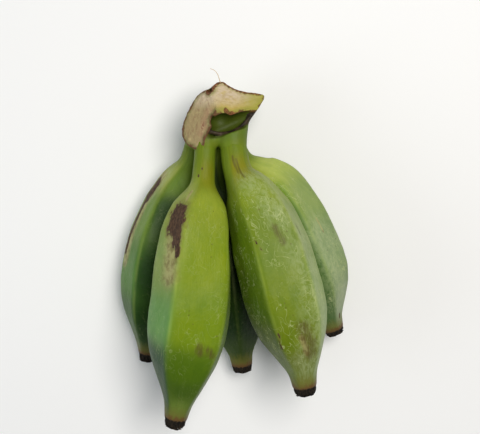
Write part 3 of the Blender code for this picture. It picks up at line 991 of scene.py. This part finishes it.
def crown_flesh():
    f = Finish("crown_flesh")
    place = f.attribute("millimetres", "Vector")
    metres = f.node("VectorMath", {0: place, "Scale": MM}, operation="SCALE").outputs[0]
    under = f.attribute("under_cut")
    to_rim = f.attribute("to_rim")
    limb = f.attribute("limb")
    ragged = f.grain(metres, 900.0, 3.0, 0.6)
    blotch = f.grain(metres, 300.0, 3.0, 0.6)

    # Green skin, darkened in the hollow as painted shade, browning toward the knife's
    # edge.
    skin, _, _ = peel_grain(f, metres, paint(*SEAM))
    back = f.part(place, 1)        # grows from the crown's front to its back
    skin = f.mix(f.between(back, -8.5, -2.5, 0.0, 0.7), skin, chip("crown front"))
    weathered = f.times(f.between(f.grain(metres, 110.0, 4.0, 0.65), 0.48, 0.62),
                        f.between(back, 6.0, 18.0, 0.15, 0.8))
    skin = f.mix(weathered, skin, chip("weathered"))
    # Painted shade: the hollow is darkened as if in shadow.
    skin = f.mix(f.between(f.attribute("hollow"), 0.10, 0.30), skin,
                 f.two(blotch, "deep hollow shade", "hollow"))
    lip = f.between(f.plus(under, f.swing(blotch, 3.0)), 2.6, 0.6)
    lip = f.times(lip, f.between(back, -5.0, 1.0, 0.08, 0.85))
    skin = f.mix(lip, skin, f.two(ragged, "lip", "dry lip"))
    scar = f.between(f.plus(f.attribute("from_scar"), f.swing(ragged, 1.2)), 2.1, 1.45)
    skin = f.mix(scar, skin, f.two(f.between(blotch, 0.4, 0.65), "scar", "dry scar"))

    # Flesh with faint threads running out along each limb, painted greyer and darker on
    # the left limb as shade and brighter on the right limb where it is lit.
    left_threads = f.grain(f.stretched(metres, (1.0, 0.30, 0.5), (0, 0, 0.35)),
                           1100.0, 4.0, 0.65, 0.3)
    right_threads = f.grain(f.stretched(metres, (0.34, 1.0, 0.5), (0, 0, -0.38)),
                            1000.0, 4.0, 0.65, 0.3)
    threads = f.node("Mix", {0: limb, 2: left_threads, 3: right_threads}).outputs[0]
    pale = f.two(limb, "shaded left flesh", "right flesh")
    peak = f.times(f.between(back, 9.0, 19.0), f.between(blotch, 0.25, 0.6, 0.45, 1.0))
    pale = f.mix(peak, pale, chip("peak flesh"))
    flesh = f.mix(f.between(threads, 0.42, 0.68, 0.0, 0.45), pale,
                  f.two(limb, "shaded left thread", "right thread"))
    core = f.between(f.plus(to_rim, f.swing(ragged, 3.0)), 2.4, 5.0)
    veins = f.between(f.grain(f.stretched(metres, (1.0, 0.45, 1.0), (0, 0, 0.35)),
                              520.0, 4.0, 0.7, 1.0), 0.52, 0.64)
    veins = f.times(f.times(veins, core), f.math("SUBTRACT", 0.60, f.times(limb, 0.5)))
    flush = f.between(f.plus(f.attribute("from_flush"), f.swing(ragged, 3.0)), 4.5, 0.5)
    flesh = f.mix(f.times(flush, 0.45), flesh, chip("flush"))
    flesh = f.mix(f.times(veins, f.plus(0.6, flush)), flesh, chip("vein"))
    flesh = f.mix(f.between(blotch, 0.52, 0.72, 0.0, 0.45), flesh, chip("dry flesh"))
    green_edge = f.between(f.plus(to_rim, f.swing(ragged, 2.4)), 3.4, 0.8, 0.0, 0.75)
    flesh = f.mix(green_edge, flesh, f.two(limb, "shaded left edge", "right edge"))
    right_end = f.between(f.part(place, 0), 5.0, 17.0, 0.0, 0.75)
    flesh = f.mix(right_end, flesh, chip("right tip"))
    rim = f.plus(f.plus(to_rim, f.swing(blotch, 4.2)), f.times(limb, 0.45))
    flesh = f.mix(f.times(f.between(rim, 1.6, 0.7), 0.9), flesh,
                  f.two(ragged, "rim", "dry rim"))

    # Flesh where it was cut, skin elsewhere, and dried brown at the lip and tears.
    cut = f.between(f.plus(under, f.swing(ragged, 0.3)), 0.60, 0.42)
    colour = f.mix(cut, skin, flesh)
    lip = f.plus(f.attribute("from_lip"), f.swing(blotch, 4.0))
    torn = f.plus(f.attribute("from_tear"), f.swing(ragged, 2.4))
    dried = f.times(f.between(lip, 1.7, 1.0), f.between(under, 3.0, 1.5))
    dried = f.math("MAXIMUM", dried, f.between(torn, 1.5, 0.7))
    colour = f.mix(f.times(dried, 0.9), colour,
                   f.two(f.between(ragged, 0.4, 0.65), "torn", "dry torn"))
    rough = f.between(cut, 0.0, 1.0, 0.48, 0.72)
    normal = f.bump(f.times(threads, f.plus(cut, 0.1)), 0.45, 0.0004)
    normal = f.bump(ragged, 0.40, 0.0004, normal)
    return f.finish(colour, rough, normal)


def dry_fibre():
    f = Finish("dry_fibre")
    place = f.node("TexCoord", {}).outputs["Object"]
    streak = f.grain(place, 900.0, 2.0)
    rough = f.between(streak, 0.3, 0.7, 0.55, 0.7)
    return f.finish(f.two(streak, "pale strand", "tan strand"), rough,
                    f.bump(streak, 0.3, 0.0002))


PEEL, FLESH, STRAND = green_peel(), crown_flesh(), dry_fibre()
for label, spec in FINGERS.items():
    finger(label, spec)
crown()
fibre()


# ---- floor, light and camera ------------------------------------------------------
FLOOR_REACH = 2.0
FLOOR_GREY = 0.92
FLOOR_ROUGH = 0.9
SKY_COLOUR, SKY_STRENGTH = (0.93, 0.96, 1.0, 1), 0.22
LAMP_AIM = (0, 0, 0.04)
# Each lamp's name, place, width, watts and colour.
LAMPS = [("top_light", (0.22, 0.24, 0.92), 0.5, 7.6, (1.0, 0.97, 0.92)),
         ("left_light", (-0.8, -0.1, 0.5), 0.7, 2.2, (0.88, 0.95, 1.0))]
LENS = 73.35               # millimetres on a 36 mm wide frame
FRAME_WIDTH = 36.0
DISTANCE = 0.520
TILT = 6.0                 # degrees the view leans in from the crown's side
AIM = (Vector((8.0, -46.0, 58.0)) + SHIFT) * MM


def pale_floor():
    bm = bmesh.new()
    bmesh.ops.create_grid(bm, x_segments=1, y_segments=1, size=FLOOR_REACH)
    mesh = bpy.data.meshes.new("floor")
    bm.to_mesh(mesh)
    bm.free()
    floor = bpy.data.objects.new("floor", mesh)
    bpy.context.scene.collection.objects.link(floor)
    f = Finish("pale_floor")
    f.shader.inputs["Base Color"].default_value = (FLOOR_GREY, FLOOR_GREY, FLOOR_GREY, 1)
    f.shader.inputs["Roughness"].default_value = FLOOR_ROUGH
    mesh.materials.append(f.made)


def softbox(name, place, size, watts, colour):
    lamp = bpy.data.lights.new(name, "AREA")
    lamp.shape = "DISK"
    lamp.size = size
    lamp.energy = watts
    lamp.color = colour
    made = bpy.data.objects.new(name, lamp)
    bpy.context.scene.collection.objects.link(made)
    way = Vector(LAMP_AIM) - Vector(place)
    made.matrix_world = (Matrix.Translation(Vector(place))
                         @ way.to_track_quat("-Z", "Y").to_matrix().to_4x4())


def studio():
    world = bpy.data.worlds.new("studio")
    bpy.context.scene.world = world
    world.use_nodes = True
    sky = world.node_tree.nodes["Background"]
    sky.inputs["Color"].default_value = SKY_COLOUR
    sky.inputs["Strength"].default_value = SKY_STRENGTH
    for lamp in LAMPS:
        softbox(*lamp)


def camera():
    lean = math.radians(TILT)
    ahead = Vector((0, -math.sin(lean), -math.cos(lean)))
    upward = Vector((0, math.cos(lean), -math.sin(lean)))
    right = Vector((1, 0, 0))
    eye = AIM - ahead * DISTANCE
    data = bpy.data.cameras.new("camera")
    data.lens = LENS
    data.sensor_width = FRAME_WIDTH
    made = bpy.data.objects.new("camera", data)
    bpy.context.scene.collection.objects.link(made)
    turn = Matrix((right, upward, -ahead)).transposed().to_4x4()
    made.matrix_world = Matrix.Translation(eye) @ turn
    bpy.context.scene.camera = made


pale_floor()
studio()
camera()
bpy.context.scene.view_settings.view_transform = "Standard"
